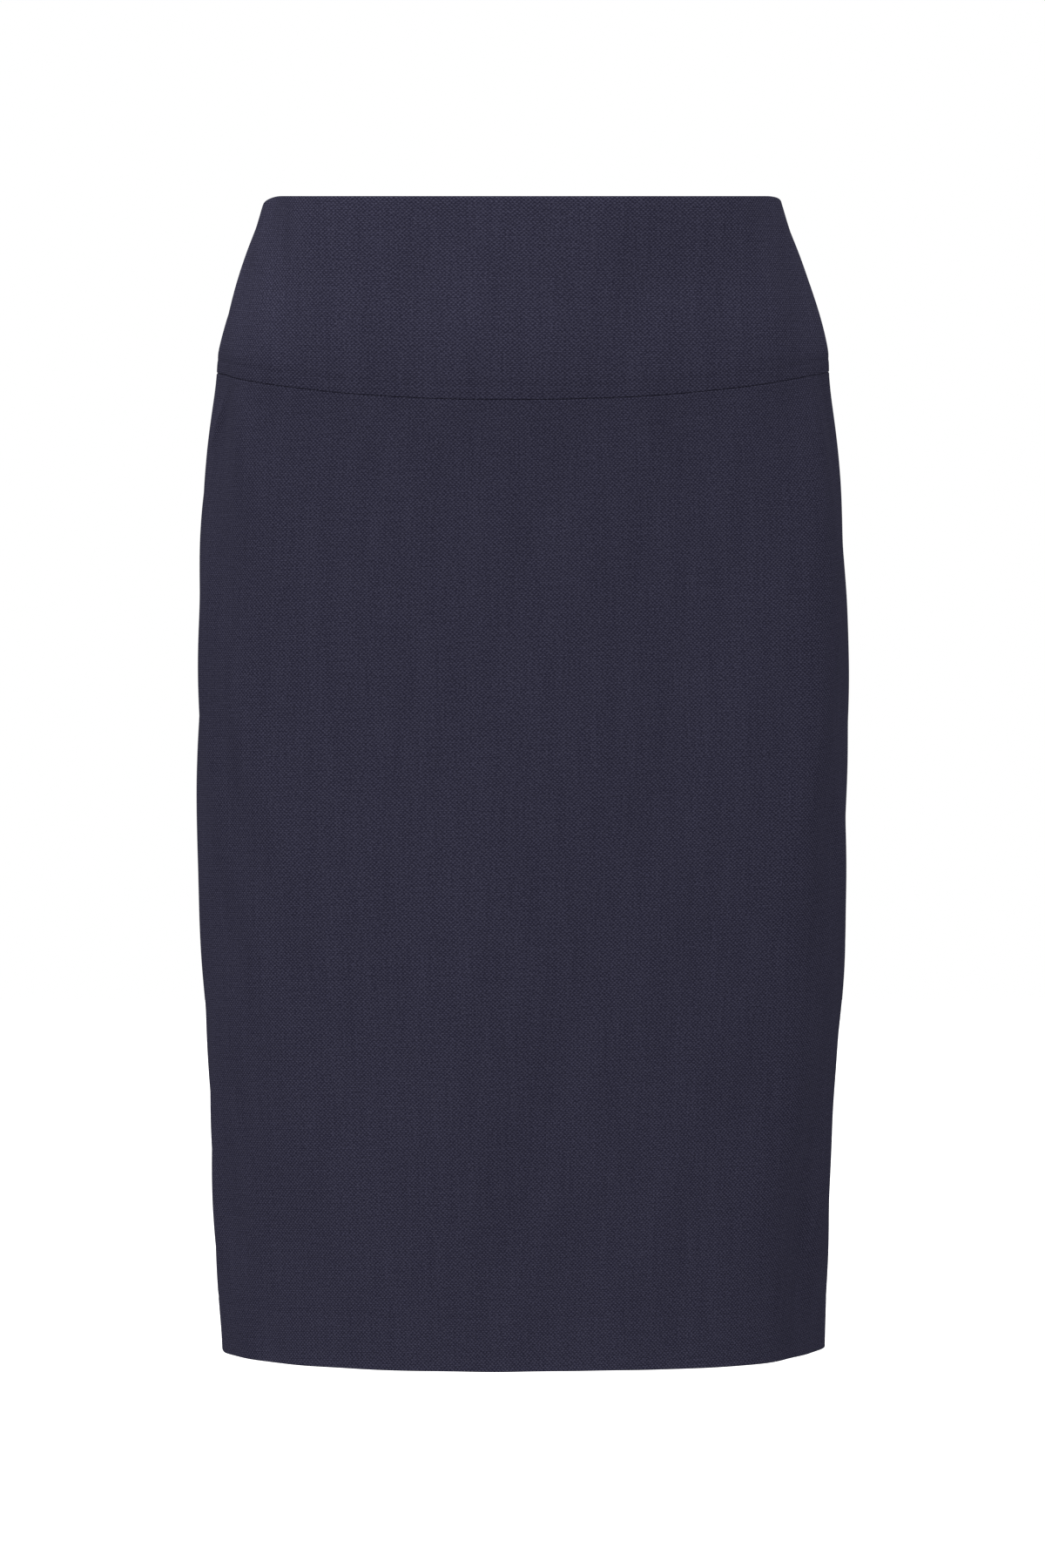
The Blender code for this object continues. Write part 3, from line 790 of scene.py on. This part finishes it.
ZIP_LENGTH = 0.185
ZIP_START = 0.003  # below the waist edge
TAPE_FROM = 0.0008  # from the centre back
TAPE_TO = 0.013
TAPE_INWARD = 0.0012
TAPE_THICKNESS = 0.0005
TAPE_RIB = 0.0009  # from rib to rib
TAPE_RIB_HEIGHT = 0.00012
TAPE_RIB_WAVER = 0.4
WAVE_RATE = 20  # a wave texture's radians for each metre, at a scale of 1
TAPE_DARK = "#1C1B2A"
TAPE_LIGHT = "#2B2A3C"


def cut_edge(line):
    return Edge(line, np.array([0.0]), lambda past: (past, past * 0), level=0.0, clear=0.0)


def below_waist(distance):
    return lambda reach: waist_edge(reach) + distance


def beside_centre_back(side, distance):
    return lambda depth: side * (centre_back(depth) - distance)


# Polyester yarn woven tight into a narrow tape, and dyed with the cloth: matt, with fine ribs
# across it where the weft turns.
tape_weave, shader = finish(
    "polyester_tape_woven", Roughness=0.75, Sheen_Weight=0.01, Specular_IOR_Level=0.1
)
place = node(tape_weave, "ShaderNodeUVMap", uv_map="cut").outputs[0]
ribs = node(
    tape_weave,
    "ShaderNodeTexWave",
    {
        "Vector": place,
        "Scale": 2 * math.pi / WAVE_RATE / TAPE_RIB,
        "Distortion": TAPE_RIB_WAVER,
    },
    bands_direction="Y",
)
tone = node(
    tape_weave,
    "ShaderNodeMix",
    {"Factor": ribs.outputs["Fac"], 6: linear(TAPE_DARK), 7: linear(TAPE_LIGHT)},
    data_type="RGBA",
)
tape_weave.node_tree.links.new(tone.outputs[2], shader.inputs["Base Color"])
raised = node(
    tape_weave,
    "ShaderNodeBump",
    {"Height": ribs.outputs["Fac"], "Strength": 0.6, "Distance": TAPE_RIB_HEIGHT},
)
tape_weave.node_tree.links.new(raised.outputs[0], shader.inputs["Normal"])

for side, where in ((1, "left"), (-1, "right")):
    edges = [beside_centre_back(side, TAPE_TO), beside_centre_back(side, TAPE_FROM)][::side]
    tape = cloth(
        f"{where}_zip_tape",
        left=cut_edge(edges[0]),
        right=cut_edge(edges[1]),
        top=cut_edge(below_waist(ZIP_START)),
        bottom=cut_edge(below_waist(ZIP_LENGTH)),
        columns=6,
        rows=60,
        behind=TAPE_INWARD,
        thickness=TAPE_THICKNESS,
    )
    dress(tape, tape_weave, "zip_tape", f"zip_tape_{where}")


# ==== Concealed zip: teeth =======================================================================
# A nylon coil on each tape, in the tape's colour. The loops of the two coils lie between each
# other, and are sewn to the inner face of the tapes.

TOOTH_PITCH = 0.00105
TOOTH_WIRE = 0.00026  # half the thickness of the nylon
COIL_WIDTH = 0.0027
COIL_DEPTH = 0.0011
COIL_OVERLAP = 0.0005  # how far each coil reaches past the centre back
COIL_LENGTH = 0.176
TOP_OF_COIL = WAIST_BACK_DROP + ZIP_START + 0.002  # its first loop, 2 mm below the tape's end
NYLON_MOTTLE = 1 / 900  # metres, so a little over a millimetre
NYLON_DARK = "#191828"
NYLON_LIGHT = "#272639"

# Nylon drawn out as one thread and wound on a rod: smooth, with a soft gloss, and dyed a little
# unevenly.
nylon, shader = finish("nylon_coil_extruded", Roughness=0.42, Specular_IOR_Level=0.35)
mottle = node(
    nylon,
    "ShaderNodeTexNoise",
    {"Vector": node(nylon, "ShaderNodeTexCoord").outputs["Object"], "Scale": 1 / NYLON_MOTTLE},
)
tone = node(
    nylon,
    "ShaderNodeMix",
    {"Factor": mottle.outputs[0], 6: linear(NYLON_DARK), 7: linear(NYLON_LIGHT)},
    data_type="RGBA",
)
nylon.node_tree.links.new(tone.outputs[2], shader.inputs["Base Color"])

for side, where in ((1, "left"), (-1, "right")):
    bpy.ops.mesh.primitive_torus_add(
        major_segments=12,
        minor_segments=5,
        major_radius=0.5,
        minor_radius=TOOTH_WIRE / COIL_WIDTH,
        location=(0, 0, 0),
    )
    coil = bpy.context.object
    coil.name = coil.data.name = f"{where}_zip_coil"
    bpy.ops.object.mode_set(mode="EDIT")
    bpy.ops.mesh.select_all(action="SELECT")
    bpy.ops.transform.resize(value=(COIL_WIDTH, COIL_DEPTH, COIL_WIDTH))
    bpy.ops.transform.translate(
        value=(
            side * (COIL_WIDTH / 2 - COIL_OVERLAP),
            -(TAPE_INWARD + TAPE_THICKNESS + COIL_DEPTH / 2),
            -TOP_OF_COIL - (TOOTH_PITCH / 2 if side < 0 else 0),
        )
    )
    bpy.ops.object.mode_set(mode="OBJECT")
    teeth = coil.modifiers.new("teeth", "ARRAY")
    teeth.use_relative_offset = False
    teeth.use_constant_offset = True
    teeth.constant_offset_displace = (0, 0, -TOOTH_PITCH)
    teeth.count = int(COIL_LENGTH / TOOTH_PITCH)
    bpy.ops.object.modifier_apply(modifier=teeth.name)
    at = np.empty(len(coil.data.vertices) * 3)
    coil.data.vertices.foreach_get("co", at)
    at = at.reshape(-1, 3)
    down = -at[:, 2]
    at[:, 1] += on_form(centre_back(down), down, 0 * down)[:, 1]
    coil.data.vertices.foreach_set("co", at.ravel())
    bpy.ops.object.shade_smooth()
    coil.select_set(False)
    dress(coil, nylon, "zip_tape")


# ==== Concealed zip: slider and pull tab =========================================================
# Both are zinc alloy, die cast and enamelled to match the cloth. The slider runs on the coils
# inside, and its bridge comes out through the seam and carries the tab.

CASTING_GRAIN = 1 / 1200  # metres, so 0.8 mm
CASTING_GRAIN_HEIGHT = 0.00005
ENAMEL_DARK = "#1C1B2D"
ENAMEL_LIGHT = "#28273C"

# Enamel baked on over the casting: a hard, even gloss, through which the casting's skin still
# shows as a slight waviness.
enamel, shader = finish(
    "zinc_alloy_enamelled", Roughness=0.32, Specular_IOR_Level=0.35, Coat_Weight=0.12
)
cast = node(
    enamel,
    "ShaderNodeTexNoise",
    {"Vector": node(enamel, "ShaderNodeTexCoord").outputs["Object"], "Scale": 1 / CASTING_GRAIN},
)
tone = node(
    enamel,
    "ShaderNodeMix",
    {"Factor": cast.outputs[0], 6: linear(ENAMEL_DARK), 7: linear(ENAMEL_LIGHT)},
    data_type="RGBA",
)
enamel.node_tree.links.new(tone.outputs[2], shader.inputs["Base Color"])
waviness = node(
    enamel,
    "ShaderNodeBump",
    {"Height": cast.outputs[0], "Strength": 0.2, "Distance": CASTING_GRAIN_HEIGHT},
)
enamel.node_tree.links.new(waviness.outputs[0], shader.inputs["Normal"])
for name in ("zip_slider", "zip_pull_tab"):
    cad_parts[name].material_slots[0].material = enamel


# ==== Studio =====================================================================================
# A plain white floor and a white room, with soft lights: two large ones in front, the left one
# stronger, two high behind, and three weak ones that light the sides.

FLOOR = -4.0  # the floor's height, low enough for a look up into the hem
FLOOR_SIZE = 80
WHITE = "#FFFFFF"
ROOM_LIGHT = 0.56  # the room looks white, and gives only this part of such a white's light
MIDDLE = (0, 0, -0.3)  # of the skirt
CAMERA_AWAY = 4.85
CAMERA_DOWN = 3.726  # degrees that it looks down from level with the waist
CAMERA_LENS = 207.3
CAMERA_SENSOR = 36
CAMERA_RANGE = (0.1, 200)

bpy.ops.mesh.primitive_plane_add(size=FLOOR_SIZE, location=(0, 0, 0))
floor = bpy.context.object
floor.name = floor.data.name = "studio_floor"
bpy.ops.object.mode_set(mode="EDIT")
bpy.ops.mesh.select_all(action="SELECT")
bpy.ops.transform.translate(value=(0, 0, FLOOR))
bpy.ops.object.mode_set(mode="OBJECT")
floor.select_set(False)

# White paint, rolled on: matt, and lit enough to blend into the room.
white, shader = finish("white_floor_paint", Roughness=0.9, Specular_IOR_Level=0.1)
shader.inputs["Base Color"].default_value = linear(WHITE)
shader.inputs["Emission Color"].default_value = linear(WHITE)
shader.inputs["Emission Strength"].default_value = 1.0
floor.data.materials.append(white)
floor.visible_diffuse = False  # the skirt is lit as if it hung in a white room
floor.visible_glossy = False

room = bpy.data.worlds.new("white_room")
room.use_nodes = True
seen = node(room, "ShaderNodeLightPath").outputs["Is Camera Ray"]
strength = node(
    room, "ShaderNodeMapRange", {"Value": seen, "To Min": ROOM_LIGHT, "To Max": 1.0}
).outputs[0]
background = room.node_tree.nodes["Background"]
background.inputs["Color"].default_value = linear(WHITE)
room.node_tree.links.new(strength, background.inputs["Strength"])
bpy.context.scene.world = room
bpy.context.scene.view_settings.view_transform = "Standard"


def soft_light(name, place, aim, size, power):
    """A round light, size metres across and of power watts, that shines from place to aim."""
    bpy.ops.object.light_add(type="AREA", location=place)
    light = bpy.context.object
    light.name = name
    light.data.shape = "DISK"
    light.data.size = size
    light.data.energy = power
    towards = Vector(aim) - Vector(place)
    light.rotation_euler = towards.to_track_quat("-Z", "Y").to_euler()
    light.select_set(False)


soft_light("left_light", (-2.5, -4, 3), MIDDLE, 1.6, 155)
soft_light("right_light", (2.5, -4, 3), MIDDLE, 1.6, 103)
soft_light("low_left_light", (-1.3, -0.45, -1.0), (-0.15, 0, -0.5), 0.8, 3.9)
soft_light("low_right_light", (1.2, -0.8, -1.1), (0.15, 0, -0.4), 0.8, 1.4)
soft_light("right_back_light", (2.4, 1.2, 0.6), MIDDLE, 1.6, 13)
soft_light("high_left_light", (-2.5, 1.5, 5), MIDDLE, 1.6, 150)
soft_light("high_light", (0, 1.5, 6), MIDDLE, 1.6, 385)

bpy.ops.object.camera_add(
    location=(0, -CAMERA_AWAY, 0), rotation=(math.radians(90 - CAMERA_DOWN), 0, 0)
)
camera = bpy.context.object
camera.data.sensor_fit = "AUTO"
camera.data.sensor_width = CAMERA_SENSOR
camera.data.lens = CAMERA_LENS
camera.data.clip_start, camera.data.clip_end = CAMERA_RANGE
camera.select_set(False)
bpy.context.scene.camera = camera
